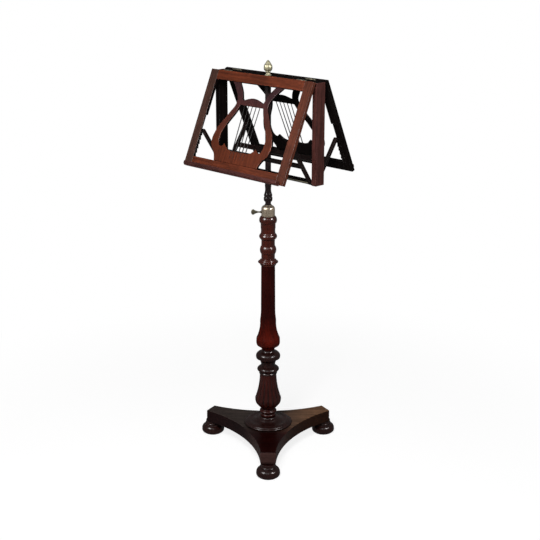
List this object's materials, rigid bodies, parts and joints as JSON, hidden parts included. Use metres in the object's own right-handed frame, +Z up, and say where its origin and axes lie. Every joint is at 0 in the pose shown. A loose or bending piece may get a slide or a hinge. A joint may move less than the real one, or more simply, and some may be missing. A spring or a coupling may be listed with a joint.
{
  "type": "duet music stand",
  "caption": "Turned mahogany duet music stand: triform base on bun feet, clamped sliding post and a swivelling desk with folding lyre rests on both sides, each held open by a strut.",
  "frame": {"origin": "on the axis of the pillar at floor level", "axes": "+Z up along the pillar, -Y towards the front foot, +X to the right seen from the front"},
  "size_m": [0.5524, 0.5546, 1.3304],
  "materials": {
    "mahogany": "french polish",
    "dark_mahogany": "french polish, darkened",
    "ebony": "satin",
    "brass": "lacquered, toned"
  },
  "bodies": {
    "stand": {"base_platform": "dark_mahogany", "foot_front": "dark_mahogany", "foot_right": "dark_mahogany", "foot_left": "dark_mahogany", "base_flange": "dark_mahogany", "column_baluster": "mahogany", "column_shaft": "mahogany", "column_head": "mahogany", "brass_collar": "brass"},
    "clamp": {"thumbscrew": "brass"},
    "mast": {"post": "dark_mahogany", "desk_washer": "brass", "finial": "brass"},
    "desk": {"frame_left_stile": "dark_mahogany", "frame_right_stile": "dark_mahogany", "frame_top_rail": "dark_mahogany", "frame_bottom_rail": "dark_mahogany", "front_strut_rod": "brass", "back_strut_rod": "brass", "front_left_hinge_fixed_leaf": "brass", "front_right_hinge_fixed_leaf": "brass", "back_left_hinge_fixed_leaf": "brass", "back_right_hinge_fixed_leaf": "brass"},
    "front_rest": {"front_top_rail": "mahogany", "front_bottom_rail": "mahogany", "front_left_stile": "mahogany", "front_right_stile": "mahogany", "front_left_rack": "dark_mahogany", "front_right_rack": "dark_mahogany", "front_lyre": "mahogany", "front_string_1": "ebony", "front_string_2": "ebony", "front_string_3": "ebony", "front_string_4": "ebony", "front_string_5": "ebony", "front_ledge": "dark_mahogany", "front_left_hinge_moving_leaf": "brass", "front_right_hinge_moving_leaf": "brass"},
    "back_rest": {"back_top_rail": "mahogany", "back_bottom_rail": "mahogany", "back_left_stile": "mahogany", "back_right_stile": "mahogany", "back_left_rack": "dark_mahogany", "back_right_rack": "dark_mahogany", "back_lyre": "mahogany", "back_string_1": "ebony", "back_string_2": "ebony", "back_string_3": "ebony", "back_string_4": "ebony", "back_string_5": "ebony", "back_ledge": "dark_mahogany", "back_left_hinge_moving_leaf": "brass", "back_right_hinge_moving_leaf": "brass"},
    "front_strut": {"front_strut_left_leg": "dark_mahogany", "front_strut_right_leg": "dark_mahogany", "front_strut_crossbar": "dark_mahogany"},
    "back_strut": {"back_strut_left_leg": "dark_mahogany", "back_strut_right_leg": "dark_mahogany", "back_strut_crossbar": "dark_mahogany"}
  },
  "joints": [
    {"name": "thumbscrew_turn", "type": "hinge", "parent": "stand", "child": "clamp", "pos_m": [-0.0225, 0, 0.8379], "axis": [-1, 0, 0], "range_deg": [0, 360]},
    {"name": "post_slide", "type": "slide", "parent": "stand", "child": "mast", "axis": [0, 0, 1], "range_m": [-0.008, 0.25]},
    {"name": "desk_swivel", "type": "hinge", "parent": "mast", "child": "desk", "pos_m": [0, 0, 0.963], "axis": [0, 0, 1], "continuous": true},
    {"name": "front_fold", "type": "hinge", "parent": "desk", "child": "front_rest", "pos_m": [-0.01442, -0.01407, 1.2838], "axis": [0.6984, -0.7157, 0], "range_deg": [-3, 23.5]},
    {"name": "back_fold", "type": "hinge", "parent": "desk", "child": "back_rest", "pos_m": [0.01442, 0.01407, 1.2838], "axis": [-0.6984, 0.7157, 0], "range_deg": [-3, 23.5]},
    {"name": "front_strut_fold", "type": "hinge", "parent": "desk", "child": "front_strut", "pos_m": [-0.01073, -0.01048, 0.9686], "axis": [0.6984, -0.7157, 0], "range_deg": [-33.2, 4.3]},
    {"name": "back_strut_fold", "type": "hinge", "parent": "desk", "child": "back_strut", "pos_m": [0.01073, 0.01048, 0.9686], "axis": [-0.6984, 0.7157, 0], "range_deg": [-33.2, 4.3]}
  ],
  "couplings": [
    {"joint": "front_strut_fold", "follows": "front_fold", "ratio": -1.4115},
    {"joint": "back_strut_fold", "follows": "back_fold", "ratio": -1.4115}
  ]
}
